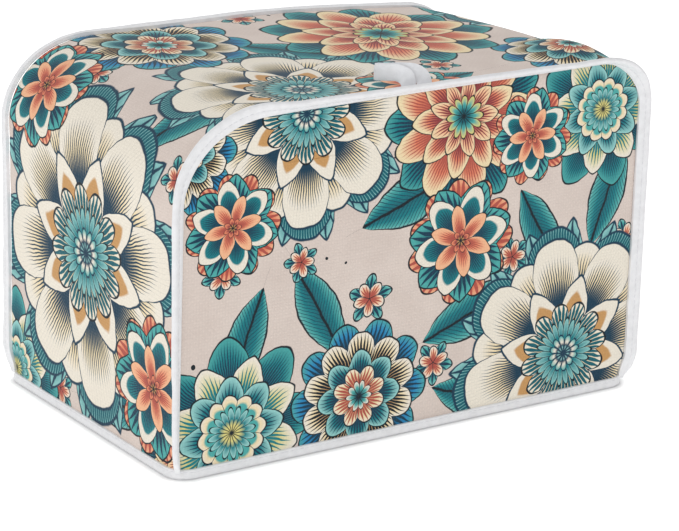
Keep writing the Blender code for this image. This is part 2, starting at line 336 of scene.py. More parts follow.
def gusset_point(station, angle, flat, depth_in, seed=3.0):
    radius = station.edge_radius()
    from_seam = DEPTH / 2 - radius * (1 - math.pi / 4) - abs(flat)
    if flat > GUSSET_BACK_STARTS:
        seed += 5
    relief = cloth_relief(station.run, max(from_seam, 0.0), seed)
    if abs(flat) <= DEPTH / 2 - radius:
        return station.point(relief - depth_in, flat)
    outward, inset = edge_section(radius, depth_in - relief, abs(angle))
    y = inset - DEPTH / 2
    return station.point(outward, y if flat < 0 else -y)


def panel_section(station):
    """(angle or None, outward laid flat) from the panel's seam inwards to its last ring."""
    radius = station.edge_radius()
    clear = GAP / 2 / radius
    found = []
    for i in range(EDGE_STEPS + 1):
        angle = math.pi / 4 + clear + (math.pi / 4 - clear) * i / EDGE_STEPS
        found.append((angle, -radius + radius * (math.pi / 2 - angle)))
    return found + [(None, -radius - border) for border in PANEL_BORDERS]


def panel_layers(front, stations, seed):
    """The outer points, the inner points and the flat cloth's coordinates of a panel."""
    outer, inner, flat = [], [], []
    for station in stations:
        radius = station.edge_radius()
        for angle, outward in panel_section(station):
            from_seam = -outward - radius * (1 - math.pi / 4)
            relief = cloth_relief(station.run, max(from_seam, 0.0), seed)
            for layer, depth_in in ((outer, 0.0), (inner, CLOTH)):
                if angle is None:
                    at = (outward, depth_in - relief)
                else:
                    at = edge_section(radius, depth_in - relief, angle)
                layer.append(station.point(at[0], front * (at[1] - DEPTH / 2)))
            flat.append(station.flat(outward))
    for left, right in zip(stations[: SIDE_STEPS + SHOULDER_STEPS], stations[::-1]):
        ends = []
        for station in (left, right):
            outward = panel_section(station)[-1][1]
            from_seam = -outward - station.edge_radius() * (1 - math.pi / 4)
            relief = cloth_relief(station.run, from_seam, seed)
            ends.append((*station.flat(outward), relief))
        for i in range(1, TOP_STEPS):
            share = i / TOP_STEPS
            x, z, relief = (a + (b - a) * share for a, b in zip(*ends))
            middle = wave(x * 13, z * 15, seed + 3) * PANEL_WAVE
            middle += wave(x * 34, z * 34, seed + 9) * FINE_WAVE
            inside = smooth(share * 5) * smooth((1 - share) * 5)
            lift = relief * (1 - inside) + middle * inside
            for layer, depth_in in ((outer, 0.0), (inner, CLOTH)):
                layer.append(settle(x, front * (depth_in - lift - DEPTH / 2), z))
            flat.append((x, z))
    return outer, inner, flat


def grid_faces(rows):
    faces = []
    for low, high in zip(rows, rows[1:]):
        for i in range(len(low) - 1):
            faces.append((low[i], low[i + 1], high[i + 1], high[i]))
    return faces


def panel_faces(stations):
    count = len(panel_section(stations[0]))
    rings = [range(count * i, count * (i + 1)) for i in range(len(stations))]
    border = [ring[-1] for ring in rings]
    side = SIDE_STEPS + SHOULDER_STEPS
    after_rings = count * len(stations)
    rows = []
    for i in range(side):
        start = after_rings + i * (TOP_STEPS - 1)
        rows.append([border[i], *range(start, start + TOP_STEPS - 1), border[-1 - i]])
    rows.append(border[side : side + TOP_STEPS + 1])
    return grid_faces(rings) + grid_faces(rows)


def new_object(name, points, faces, material, cloth_at=None):
    """A smooth piece, with its coordinates on the flat cloth in metres where it has them."""
    mesh = bpy.data.meshes.new(name)
    mesh.from_pydata([tuple(p) for p in points], [], faces)
    mesh.materials.append(material)
    if cloth_at:
        layer = mesh.uv_layers.new(name="cloth")
        for loop in mesh.loops:
            layer.data[loop.index].uv = cloth_at[loop.vertex_index % len(cloth_at)]
    mesh.update()
    mesh.shade_smooth()
    mesh.set_sharp_from_angle(angle=math.radians(50))
    made = bpy.data.objects.new(name, mesh)
    bpy.context.scene.collection.objects.link(made)
    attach(made, "root")
    return made


def sewn_sheet(name, outer, inner, faces, material, cloth_at, turned):
    """A closed sheet of cloth from the points of its two faces."""
    count = len(outer)
    steps = {(face[i - 1], face[i]) for face in faces for i in range(len(face))}
    made = [face[::-1] if turned else face for face in faces]
    made += [tuple(i + count for i in (face if turned else face[::-1])) for face in faces]
    for a, b in sorted(steps):
        if (b, a) not in steps:
            rim = (b, a, a + count, b + count)
            made.append(rim[::-1] if turned else rim)
    return new_object(name, outer + inner, made, material, cloth_at)


def loft(name, sections, closed, material, flip=False):
    """Skins a run of equal sections."""
    count = len(sections[0])
    points = [p for section in sections for p in section]
    faces = []
    runs = len(sections) if closed else len(sections) - 1
    for k in range(runs):
        low, high = k * count, (k + 1) % len(sections) * count
        for i in range(count):
            after = (i + 1) % count
            faces.append((low + i, low + after, high + after, high + i))
    if not closed:
        faces.append(tuple(range(count))[::-1])
        faces.append(tuple(range(len(points) - count, len(points))))
    if flip:
        faces = [face[::-1] for face in faces]
    return new_object(name, points, faces, material)


def fin_profile(length):
    """(along, half thickness) up one side of the folded tape, dipped at its line of stitches."""
    return list(FIN_FOOT) + [(share * length, half) for share, half in FIN_ROWS]


def fin_frame(station, front, column):
    """The fin's base, its lean and its length at a station."""
    radius = station.edge_radius()
    off = (GAP + TAPE_THICKNESS / 2) * math.sqrt(0.5)
    seed = FIN_SEEDS[front]
    lean = lean_at(station.place, column)
    sway = 0.0
    for degrees, waves, at in SWAY:
        sway += math.radians(degrees) * wave(station.run * waves, seed, at)
    grow = 1 + GROWS * wave(station.run * GROW_WAVES, seed, 5.0)
    full = (TAPE_STANDS - TAPE_THICKNESS / 2) * grow
    length = TAPE_ENDS_AT + (full - TAPE_ENDS_AT) * smooth((station.z - TAPE_FOOT) / TAPE_TAPERS_OVER)
    return off - SEAM_SHARE * radius, SEAM_SHARE * radius - off, lean + sway, length


def fin_point(station, front, column, along, aside):
    base_out, base_in, lean, _ = fin_frame(station, front, column)
    outward = base_out + along * math.cos(lean) - aside * math.sin(lean)
    ahead = along * math.sin(lean) + aside * math.cos(lean) - base_in
    return station.point(outward, front * (-DEPTH / 2 - ahead))


def fin_section(station, front, column):
    profile = fin_profile(fin_frame(station, front, column)[3])
    sides = profile + [(along, -half) for along, half in reversed(profile)]
    return [fin_point(station, front, column, along, aside) for along, aside in sides]


def hem_path():
    """(x, y, normal x, normal y, run) round the cloth's outside at the hem."""
    half_x, half_y = WIDTH / 2 - HEM_EDGE_RADIUS, DEPTH / 2 - HEM_EDGE_RADIUS
    found = []
    for quarter, (sign_x, sign_y) in enumerate(((1, 1), (-1, 1), (-1, -1), (1, -1))):
        for i in range(HEM_CORNER_STEPS + 1):
            turn = math.pi / 2 * (quarter + i / HEM_CORNER_STEPS)
            x = sign_x * half_x + HEM_EDGE_RADIUS * math.cos(turn)
            y = sign_y * half_y + HEM_EDGE_RADIUS * math.sin(turn)
            found.append((x, y, math.cos(turn), math.sin(turn)))
        span = 2 * (half_x if quarter % 2 == 0 else half_y)
        x, y, normal_x, normal_y = found[-1]
        for i in range(1, HEM_SIDE_STEPS):
            step = span * i / HEM_SIDE_STEPS
            found.append((x - normal_y * step, y + normal_x * step, normal_x, normal_y))
    runs = [0.0]
    for before, after in zip(found, found[1:]):
        runs.append(runs[-1] + math.hypot(after[0] - before[0], after[1] - before[1]))
    return [(*at, run) for at, run in zip(found, runs)]


def hem_section(x, y, normal_x, normal_y, run):
    """The folded tape's section, rounded at its edges and dipped along its stitches."""
    faces = {"inner": -CLOTH - HEM_INSIDE, "outer": HEM_OUTSIDE}
    top = HEM_HEIGHT + HEM_UNEVEN * wave(run * HEM_WAVES, 1.0, 1.0)
    levels = {"foot": 0.0, "line": HEM_LINE_AT, "top": top}
    section = []
    for face, beside, level, over in HEM_ROWS:
        off = faces[face] + beside
        section.append(settle(x + off * normal_x, y + off * normal_y, levels[level] + over))
    return section


def loop_path():
    found = []
    last = len(LOOP_KEYS) - 1
    for i in range(last):
        before, start = LOOP_KEYS[max(i - 1, 0)], LOOP_KEYS[i]
        end, after = LOOP_KEYS[i + 1], LOOP_KEYS[min(i + 2, last)]
        for step in range(LOOP_STEPS):
            t = step / LOOP_STEPS
            row = []
            for p0, p1, p2, p3 in zip(before, start, end, after):
                curve = 2 * p1 + (p2 - p0) * t + (2 * p0 - 5 * p1 + 4 * p2 - p3) * t**2
                row.append((curve + (3 * p1 - p0 - 3 * p2 + p3) * t**3) / 2)
            found.append(row)
    return found + [list(LOOP_KEYS[-1])]


def loop_section(points, index):
    """The ribbon's flat section, thinner at its woven edges and slightly cupped."""
    before = points[max(index - 1, 0)]
    after = points[min(index + 1, len(points) - 1)]
    behind, x, height, face = points[index]
    along = Vector((after[1] - before[1], after[0] - before[0], after[2] - before[2])).normalized()
    turned = math.radians(face)
    across = Vector((-math.sin(turned), -math.cos(turned), 0)).cross(along).normalized()
    off = across.cross(along)
    middle = Vector((x / 1000, behind / 1000 - DEPTH / 2, HEIGHT + height / 1000))
    shape = LOOP_EDGE + tuple((-wide, thick) for wide, thick in reversed(LOOP_EDGE))
    section = []
    for sign in (-1, 1):
        for wide, thick in shape if sign < 0 else shape[::-1]:
            ripple = LOOP_RIPPLE * wave(index * 0.11, wide * 1.3, 8.0)
            aside = sign * thick * LOOP_TAPE / 2 + ripple
            section.append(settle(*(middle + across * (wide * LOOP_WIDTH / 2) + off * aside)))
    return section


def stitches(name, lines, material):
    """Rows of short threads as one piece. Each line is a list of (point, way, out of the cloth)."""
    points, faces = [], []
    for line in lines:
        for at, way, out in line:
            side = way.cross(out).normalized()
            start = len(points)
            for along, size in STITCH_ROWS:
                lift = STITCH_THICK * (0.25 * size - 0.1)
                for turn in range(STITCH_SIDES):
                    angle = math.tau / STITCH_SIDES * turn
                    reach = STITCH_THICK / 2 * size
                    ring = side * math.cos(angle) * reach + out * math.sin(angle) * reach
                    points.append(at + way * (along * STITCH) + out * lift + ring)
            end = len(points) - STITCH_SIDES
            for low in range(start, end, STITCH_SIDES):
                high = low + STITCH_SIDES
                for i in range(STITCH_SIDES):
                    after = (i + 1) % STITCH_SIDES
                    faces.append((low + i, low + after, high + after, high + i))
            faces.append(tuple(range(start, start + STITCH_SIDES))[::-1])
            faces.append(tuple(range(end, end + STITCH_SIDES)))
    return new_object(name, points, faces, material)


def seam_stitches(stations, front, column):
    """The two faces' lines of stitches on a fin."""
    lines = []
    for face in (-SEAM_LINE_FACE, SEAM_LINE_FACE):
        line = []
        run = STITCHES_START
        while run < stations[-1].run - STITCHES_START:
            here, ahead = station_at(stations, run), station_at(stations, run + 0.001)
            at = fin_point(here, front, column, SEAM_LINE_AT, face)
            way = (fin_point(ahead, front, column, SEAM_LINE_AT, face) - at).normalized()
            out = (at - fin_point(here, front, column, SEAM_LINE_AT, 0.0)).normalized()
            line.append((at, way, out))
            run += STITCH_EVERY
        lines.append(line)
    return lines


def hem_stitches(path):
    line = []
    due = 0.0
    for here, ahead in zip(path, path[1:]):
        while due <= ahead[4]:
            t = (due - here[4]) / (ahead[4] - here[4])
            x, y, normal_x, normal_y = (a + (b - a) * t for a, b in zip(here[:4], ahead[:4]))
            out = Vector((normal_x, normal_y, 0)).normalized()
            way = Vector((ahead[0] - here[0], ahead[1] - here[1], 0)).normalized()
            reach = HEM_OUTSIDE - HEM_LINE_DIP
            line.append((settle(x + reach * normal_x, y + reach * normal_y, HEM_LINE_AT), way, out))
            due += STITCH_EVERY
    return [line]


# Colour


def srgb(red, green, blue):
    """A colour as read off a screen, as the renderer takes it."""

    def linear(value):
        share = value / 255
        return share / 12.92 if share <= 0.04045 else ((share + 0.055) / 1.055) ** 2.4

    return (linear(red), linear(green), linear(blue), 1.0)


CREAM = srgb(238, 230, 215)
SAND = srgb(240, 220, 178)
OLIVE = srgb(218, 208, 132)
OCHRE = srgb(200, 152, 96)
PEACH = srgb(243, 186, 146)
CORAL = srgb(226, 132, 100)
BRICK = srgb(176, 84, 72)
MAROON = srgb(140, 58, 62)
AQUA = srgb(152, 208, 204)
SEA = srgb(78, 170, 166)
TEAL = srgb(18, 124, 132)
DEEP_TEAL = srgb(16, 96, 108)
BLUE = srgb(38, 134, 186)
NAVY = srgb(16, 58, 80)
INK = srgb(16, 30, 38)
PALE_GROUND = srgb(223, 209, 200)
DEEP_GROUND = srgb(213, 198, 189)


class Art:
    """Builds the print's node tree from sums on sockets."""

    def __init__(self, tree):
        self.tree = tree

    def node(self, kind, **values):
        made = self.tree.nodes.new(kind)
        for name, value in values.items():
            setattr(made, name, value)
        return made

    def feed(self, socket, value):
        if isinstance(value, bpy.types.NodeSocket):
            self.tree.links.new(value, socket)
        else:
            socket.default_value = value

    def math(self, operation, *values):
        made = self.node("ShaderNodeMath", operation=operation)
        for socket, value in zip(made.inputs, values):
            self.feed(socket, value)
        return made.outputs[0]

    def vector(self, operation, *values):
        made = self.node("ShaderNodeVectorMath", operation=operation)
        for socket, value in zip(made.inputs, values):
            self.feed(socket, value)
        return made.outputs["Value" if operation == "LENGTH" else "Vector"]

    def fade(self, value, low, high, start=0.0, end=1.0):
        """Runs from start at low to end at high, and stays there."""
        made = self.node("ShaderNodeMapRange")
        for socket, given in zip(made.inputs, (value, low, high, start, end)):
            self.feed(socket, given)
        return made.outputs[0]

    def noise(self, place, scale, detail):
        made = self.node("ShaderNodeTexNoise")
        self.feed(made.inputs["Vector"], place)
        made.inputs["Scale"].default_value = scale
        made.inputs["Detail"].default_value = detail
        return made

    def mix(self, share, under, over):
        made = self.node("ShaderNodeMix", data_type="RGBA")
        self.feed(made.inputs["Factor"], share)
        self.feed(made.inputs[6], under)
        self.feed(made.inputs[7], over)
        return made.outputs[2]

    def ramp(self, value, stops):
        made = self.node("ShaderNodeValToRGB")
        found = made.color_ramp.elements
        for place, colour in stops[2:]:
            found.new(place)
        for element, (place, _) in zip(found, stops):
            element.position = place
        for element, (_, colour) in zip(found, stops):
            element.color = colour
        self.feed(made.inputs[0], value)
        return made.outputs[0]

    def nearest(self, cloth, spots):
        """The cloth's coordinates seen from the nearest of these spots, in that spot's size and turn.
        Each spot is (x, y, size, turn in degrees)."""
        best, best_far = None, None
        for x, y, size, turn in spots:
            angle = -math.radians(turn)
            centre = Matrix.Rotation(angle, 2) @ Vector((x / size, y / size))
            mapping = self.node("ShaderNodeMapping")
            self.feed(mapping.inputs["Vector"], cloth)
            mapping.inputs["Location"].default_value = (-centre.x, -centre.y, 0)
            mapping.inputs["Rotation"].default_value = (0, 0, angle)
            mapping.inputs["Scale"].default_value = (1 / size, 1 / size, 0)
            local = mapping.outputs[0]
            far = self.vector("LENGTH", local)
            if best is None:
                best, best_far = local, far
                continue
            closer = self.math("LESS_THAN", far, best_far)
            made = self.node("ShaderNodeMix", data_type="VECTOR")
            self.feed(made.inputs["Factor"], closer)
            self.feed(made.inputs[4], best)
            self.feed(made.inputs[5], local)
            best = made.outputs[1]
            best_far = self.math("MINIMUM", far, best_far)
        return best, best_far

    def angle(self, local):
        split = self.node("ShaderNodeSeparateXYZ")
        self.feed(split.inputs[0], local)
        turn = self.math("ARCTAN2", split.outputs[1], split.outputs[0])
        return self.math("MULTIPLY", turn, 1 / math.tau)

    def ring(self, under, far, turn, row):
        """One ring of petals over what is under it."""
        outer, width, line = row["outer"], row["width"], row["line"]
        spun = self.math("MULTIPLY_ADD", turn, float(row["petals"]), row["offset"])
        fold = self.math("MULTIPLY", self.math("PINGPONG", spun, 0.5), 2.0)
        bent = self.math("POWER", fold, row["tip"])
        edge = self.math("MULTIPLY_ADD", bent, row["inner"] - outer, outer)
        share = self.math("DIVIDE", far, edge)
        colour = self.ramp(share, row["stops"])
        if row["hatch"]:
            lines, thins, ends, ink = row["hatch"]
            fine = self.math("PINGPONG", self.math("MULTIPLY", spun, float(lines)), 0.5)
            reach = self.fade(share, thins, ends, 0.42, 0.0)
            colour = self.mix(self.fade(self.math("SUBTRACT", reach, fine), -0.03, 0.05), colour, ink)
        rim = self.fade(share, 1 - width * 1.4, 1 - width)
        beside = self.math("MULTIPLY", self.math("SUBTRACT", 1.0, fold), far)
        parting = self.fade(beside, width * 0.5, width * 0.2)
        colour = self.mix(self.math("MAXIMUM", rim, parting), colour, line)
        return self.mix(self.fade(share, 0.995, 1.005, 1.0, 0.0), under, colour)


# Flowers, ring by ring from the back to the front. Lengths are shares of the flower's size: a petal
# reaches inner between two petals and outer at its tip, which is pointed at a tip of 1 and round
# from 2. offset turns the ring by that share of a petal. hatch is (lines a petal, where they start
# to thin, where they end, colour). Stops run from the middle to the petal's edge.
RING_COLUMNS = ("petals", "inner", "outer", "tip", "offset", "line", "width", "hatch", "stops")
FLOWERS = {
    "daisy": (
        (16, 0.66, 1.00, 1.3, 0.5, NAVY, 0.020,
         (5, 0.70, 1.05, NAVY), ((0.6, NAVY), (0.8, TEAL), (1.0, AQUA))),
        (8, 0.66, 0.96, 2.2, 0.0, NAVY, 0.018,
         (31, 0.95, 1.30, DEEP_TEAL), ((0.8, TEAL), (1.0, AQUA))),
        (8, 0.50, 0.82, 2.0, 0.5, NAVY, 0.020,
         (21, 0.60, 0.90, NAVY), ((0.55, NAVY), (0.75, SAND), (0.9, CREAM))),
        (8, 0.44, 0.87, 3.0, 0.0, NAVY, 0.018,
         (23, 0.50, 0.86, NAVY), ((0.48, NAVY), (0.64, SAND), (0.8, CREAM))),
        (8, 0.32, 0.58, 1.2, 0.5, NAVY, 0.030, None, ((0.50, OCHRE), (0.76, OCHRE), (0.80, CREAM))),
        (12, 0.29, 0.38, 2.4, 0.0, INK, 0.035,
         (5, 0.80, 1.05, DEEP_TEAL), ((0.6, SAND), (1.0, CREAM))),
        (24, 0.17, 0.26, 2.0, 0.0, INK, 0.060, None, ((0.5, TEAL), (1.0, AQUA))),
        (12, 0.10, 0.14, 2.0, 0.0, NAVY, 0.080,
         None, ((0.3, AQUA), (0.45, NAVY), (0.6, CREAM), (0.9, SEA))),
    ),
    "starlet": (
        (11, 0.78, 1.00, 2.0, 0.3, INK, 0.026,
         (5, 0.75, 1.15, BRICK), ((0.6, BRICK), (0.85, CORAL), (1.0, PEACH))),
        (7, 0.70, 0.98, 1.2, 0.5, INK, 0.026,
         (7, 0.70, 1.00, NAVY), ((0.6, DEEP_TEAL), (0.9, SEA))),
        (6, 0.40, 0.88, 1.7, 0.5, INK, 0.024,
         (17, 0.45, 0.80, NAVY), ((0.4, DEEP_TEAL), (0.78, TEAL), (0.82, CREAM))),
        (6, 0.20, 0.60, 1.5, 0.0, INK, 0.030,
         (11, 0.35, 0.78, BRICK), ((0.25, MAROON), (0.5, CORAL), (0.85, PEACH))),
        (7, 0.10, 0.19, 1.6, 0.2, INK, 0.060, None, ((0.2, OCHRE), (0.5, MAROON), (0.8, CORAL))),
    ),
    "bluebloom": (
        (10, 0.78, 1.00, 2.2, 0.0, INK, 0.022,
         (9, 0.70, 1.00, NAVY), ((0.65, NAVY), (0.85, BLUE), (1.0, SEA))),
        (10, 0.64, 0.84, 2.6, 0.5, INK, 0.024,
         (9, 0.70, 0.98, INK), ((0.6, OCHRE), (0.8, SAND), (0.95, CREAM))),
        (8, 0.44, 0.62, 1.8, 0.0, INK, 0.030,
         (9, 0.60, 0.95, NAVY), ((0.5, NAVY), (0.75, TEAL), (0.95, AQUA))),
        (8, 0.28, 0.40, 2.2, 0.5, INK, 0.040,
         (5, 0.60, 1.00, BRICK), ((0.4, OCHRE), (0.8, SAND), (1.0, CREAM))),
        (10, 0.12, 0.20, 2.0, 0.0, INK, 0.060, None, ((0.2, NAVY), (0.6, SEA), (0.9, CREAM))),
    ),
    "sunburst": (
        (9, 0.70, 1.00, 1.5, 0.5, INK, 0.020,
         (13, 0.70, 1.00, NAVY), ((0.6, DEEP_TEAL), (0.85, TEAL), (1.0, SEA))),
        (9, 0.52, 0.90, 1.9, 0.0, INK, 0.020,
         (15, 0.50, 0.95, BRICK), ((0.45, BRICK), (0.7, CORAL), (0.92, SAND))),
        (9, 0.40, 0.66, 1.5, 0.5, INK, 0.026,
         (11, 0.50, 0.92, MAROON), ((0.45, MAROON), (0.7, CORAL), (0.9, SAND))),
        (9, 0.26, 0.44, 1.5, 0.0, INK, 0.032,
         (7, 0.50, 0.95, MAROON), ((0.4, MAROON), (0.7, PEACH), (1.0, SAND))),
        (12, 0.15, 0.24, 2.0, 0.0, INK, 0.060, None, ((0.3, DEEP_TEAL), (0.6, SEA), (0.9, OLIVE))),
    ),
    "olivebloom": (
        (8, 0.66, 1.00, 1.6, 0.0, INK, 0.020,
         (21, 0.60, 0.95, NAVY), ((0.5, DEEP_TEAL), (0.8, TEAL), (1.0, SEA))),
        (8, 0.52, 0.80, 1.4, 0.5, INK, 0.022,
         (11, 0.60, 0.90, TEAL), ((0.5, TEAL), (0.7, OLIVE), (0.95, CREAM))),
        (8, 0.40, 0.60, 1.6, 0.0, INK, 0.028,
         (9, 0.50, 0.90, NAVY), ((0.4, NAVY), (0.7, TEAL), (0.95, AQUA))),
        (12, 0.34, 0.40, 2.2, 0.0, INK, 0.034, None, ((0.75, SEA), (0.82, SAND), (1.0, CREAM))),
        (16, 0.18, 0.28, 2.0, 0.0, INK, 0.060, None, ((0.3, OLIVE), (0.55, TEAL), (0.9, AQUA))),
    ),
    "bud": (
        (5, 0.30, 1.00, 1.6, 0.5, INK, 0.060,
         (5, 0.60, 1.00, NAVY), ((0.3, DEEP_TEAL), (0.8, SEA), (1.0, AQUA))),
        (5, 0.30, 0.74, 1.9, 0.0, INK, 0.070,
         (5, 0.40, 0.90, BRICK), ((0.3, BRICK), (0.6, PEACH), (0.9, CREAM))),
    ),
}


def flower(art, under, cloth, kind, spots):
    local, far = art.nearest(cloth, spots)
    turn = art.angle(local)
    for row in FLOWERS[kind]:
        under = art.ring(under, far, turn, dict(zip(RING_COLUMNS, row)))
    return under


LEAF_HALF_WIDTH = 0.40
LEAF_VEINS = 11.0


def leaves(art, under, cloth, spots):
    """Single pointed leaves with a midrib and slanting veins, each as long as two of its sizes."""
    local, _ = art.nearest(cloth, spots)
    split = art.node("ShaderNodeSeparateXYZ")
    art.feed(split.inputs[0], local)
    along = split.outputs[0]
    aside = art.math("ABSOLUTE", split.outputs[1])
    squared = art.math("MULTIPLY", along, along)
    room = art.math("MULTIPLY_ADD", squared, -LEAF_HALF_WIDTH, LEAF_HALF_WIDTH)
    room = art.math("MAXIMUM", room, 0.001)
    share = art.math("DIVIDE", aside, room)
    body = art.ramp(share, ((0.0, DEEP_TEAL), (0.45, TEAL), (0.8, SEA), (1.0, AQUA)))
    slant = art.math("SUBTRACT", along, art.math("MULTIPLY", aside, 1.3))
    veins = art.math("PINGPONG", art.math("MULTIPLY", slant, LEAF_VEINS), 0.5)
    body = art.mix(art.fade(veins, 0.13, 0.05), body, NAVY)
    rib = art.fade(aside, 0.030, 0.018)
    rim = art.fade(share, 0.88, 0.93)
    body = art.mix(art.math("MAXIMUM", rib, rim), body, INK)
    return art.mix(art.fade(share, 0.99, 1.01, 1.0, 0.0), under, body)


# Where the print's motifs sit on each piece of cloth: (x, y, size, turn), with x along the arch and
# y towards the back on the gusset, and x to the right and y up on a panel, in metres and degrees.
GUSSET_ART = (
    ("leaves", (
        (0.186, -0.058, 0.034, 150), (0.020, -0.030, 0.032, 100), (0.160, 0.074, 0.030, 30),
        (0.318, -0.074, 0.030, 10), (0.290, 0.010, 0.036, 130), (0.448, -0.070, 0.034, 200),
        (0.428, 0.072, 0.032, 60), (0.535, 0.030, 0.032, 90),
    )),
    ("bud", (
        (0.184, 0.034, 0.013, 10), (0.010, 0.030, 0.014, 50), (0.340, -0.048, 0.012, 0),
        (0.436, 0.012, 0.014, 20), (0.152, -0.078, 0.013, 70), (0.300, 0.080, 0.013, 0),
        (0.520, -0.076, 0.014, 33), (0.012, -0.004, 0.010, 0),
    )),
    ("olivebloom", (
        (0.006, 0.078, 0.046, 0), (0.470, -0.082, 0.046, 20),
    )),
    ("daisy", (
        (0.092, 0.002, 0.094, 10), (0.250, -0.056, 0.078, 30), (0.492, 0.044, 0.086, 5),
        (0.600, -0.060, 0.070, 20),
    )),
    ("bluebloom", (
        (0.232, 0.052, 0.050, 20), (0.418, -0.058, 0.042, 33), (0.560, 0.080, 0.036, 8),
    )),
    ("sunburst", (
        (0.352, 0.022, 0.066, 8), (0.010, -0.092, 0.040, 0),
    )),
    ("starlet", (
        (0.166, 0.060, 0.034, 60), (0.040, -0.064, 0.038, 15), (0.305, -0.074, 0.030, 5),
        (0.548, -0.020, 0.038, 30),
    )),
)
PANEL_ART = (
    ("leaves", (
        (-0.104, 0.066, 0.030, 70), (0.036, 0.060, 0.034, 20), (-0.004, 0.128, 0.034, 200),
        (0.122, 0.112, 0.030, 250), (-0.060, 0.076, 0.030, 120), (0.040, 0.012, 0.030, 160),
        (-0.128, 0.170, 0.032, 60), (0.078, 0.098, 0.028, 300),
    )),
    ("bud", (
        (-0.118, 0.104, 0.012, 10), (-0.030, 0.078, 0.014, 50), (0.060, 0.086, 0.012, 0),
        (0.012, 0.036, 0.013, 20), (-0.072, 0.104, 0.011, 70), (0.136, 0.084, 0.012, 0),
        (0.030, 0.176, 0.014, 33), (-0.082, 0.012, 0.010, 0),
    )),
    ("daisy", (
        (-0.070, 0.180, 0.068, 0), (0.098, 0.026, 0.076, 10),
    )),
    ("sunburst", (
        (0.026, 0.166, 0.050, 0), (-0.144, -0.006, 0.040, 0),
    )),
    ("olivebloom", (
        (-0.110, 0.020, 0.052, 5), (0.116, 0.158, 0.044, 14),
    )),
    ("bluebloom", (
        (-0.034, 0.026, 0.042, 0), (-0.142, 0.168, 0.032, 0),
    )),
    ("starlet", (
        (-0.112, 0.128, 0.028, 10), (0.026, 0.100, 0.034, 40), (0.070, 0.150, 0.026, 0),
    )),
)


INK_DRIFT = 0.0013  # how far the drawn outlines wander
THREAD_PITCH = 0.00165


def weave(art, cloth, pitch):
    """The height of the plain weave: threads that cross over and under."""
    split = art.node("ShaderNodeSeparateXYZ")
    art.feed(split.inputs[0], cloth)
    waves = []
    for way in (0, 1):
        waves.append(art.math("SINE", art.math("MULTIPLY", split.outputs[way], math.pi / pitch)))
    crossing = art.math("MULTIPLY", *waves)
    cells = [art.math("ABSOLUTE", found) for found in waves]
    round_top = art.math("MULTIPLY", *cells)
    return art.math("MULTIPLY_ADD", crossing, 0.35, round_top)


def cloth_material(name, artwork):
    material = bpy.data.materials.new(name)
    material.use_nodes = True
    tree = material.node_tree
    art = Art(tree)
    shader = tree.nodes["Principled BSDF"]
    flat = art.node("ShaderNodeUVMap", uv_map="cloth").outputs[0]
    drift = art.noise(flat, 90.0, 2.0)
    most, middle = (2 * INK_DRIFT, 2 * INK_DRIFT, 0), (-INK_DRIFT, -INK_DRIFT, 0)
    drawn = art.vector("ADD", flat, art.vector("MULTIPLY_ADD", drift.outputs["Color"], most, middle))
    tone = art.noise(flat, 42.0, 3.0)
    colour = art.ramp(tone.outputs["Fac"], ((0.3, DEEP_GROUND), (0.7, PALE_GROUND)))
    speck = art.node("ShaderNodeTexVoronoi")
    art.feed(speck.inputs["Vector"], drawn)
    speck.inputs["Scale"].default_value = 75.0
    split = art.node("ShaderNodeSeparateXYZ")
    art.feed(split.inputs[0], speck.outputs["Color"])
    rare = art.math("MULTIPLY", split.outputs[0], 0.115)
    dots = art.math("LESS_THAN", speck.outputs["Distance"], art.math("SUBTRACT", rare, 0.012))
    colour = art.mix(dots, colour, INK)
    for kind, spots in artwork:
        if kind == "leaves":
            colour = leaves(art, colour, drawn, spots)
        else:
            colour = flower(art, colour, drawn, kind, spots)
    # The cloth's colour is scaled by a random fine grain tone and by the weave's height, darker in the
    # pits between the threads: real grain tone plus painted shade in the weave's pits.
    grain = art.noise(flat, 800.0, 2.0)
    height = weave(art, flat, THREAD_PITCH)
    grain_and_weave_shade = art.math("MULTIPLY_ADD", grain.outputs["Fac"], 0.30, art.math("MULTIPLY", height, 0.10))
    shade = art.fade(grain_and_weave_shade, 0.05, 0.32, 0.90, 1.03)
    tinted = art.vector("SCALE", colour)
    art.feed(tinted.node.inputs["Scale"], shade)
    tree.links.new(tinted, shader.inputs["Base Color"])
    bump = art.node("ShaderNodeBump")
    bump.inputs["Strength"].default_value = 0.55
    bump.inputs["Distance"].default_value = 0.00022
    art.feed(bump.inputs["Height"], art.math("MULTIPLY_ADD", grain.outputs["Fac"], 0.35, height))
    tree.links.new(bump.outputs[0], shader.inputs["Normal"])
    shader.inputs["Roughness"].default_value = 0.78
    shader.inputs["Specular IOR Level"].default_value = 0.25
    shader.inputs["Sheen Weight"].default_value = 0.10
    shader.inputs["Sheen Roughness"].default_value = 0.5
    return material


def tape_material(name, colour, sheen):
    material = bpy.data.materials.new(name)
    material.use_nodes = True
    tree = material.node_tree
    art = Art(tree)
    shader = tree.nodes["Principled BSDF"]
    place = art.node("ShaderNodeTexCoord").outputs["Object"]
    soft = art.noise(place, 260.0, 3.0)
    thread = art.noise(place, 1700.0, 1.0)
    darker = tuple(c * 0.93 for c in colour[:3]) + (1.0,)
    tinted = art.ramp(soft.outputs["Fac"], ((0.35, darker), (0.65, colour)))
    tree.links.new(tinted, shader.inputs["Base Color"])
    bump = art.node("ShaderNodeBump")
    bump.inputs["Strength"].default_value = 0.35
    bump.inputs["Distance"].default_value = 0.00015
    height = art.math("MULTIPLY_ADD", soft.outputs["Fac"], 0.8, thread.outputs["Fac"])
    art.feed(bump.inputs["Height"], height)
    tree.links.new(bump.outputs[0], shader.inputs["Normal"])
    shader.inputs["Roughness"].default_value = 0.7
    shader.inputs["Specular IOR Level"].default_value = 0.3
    shader.inputs["Sheen Weight"].default_value = sheen
    return material


# Scene


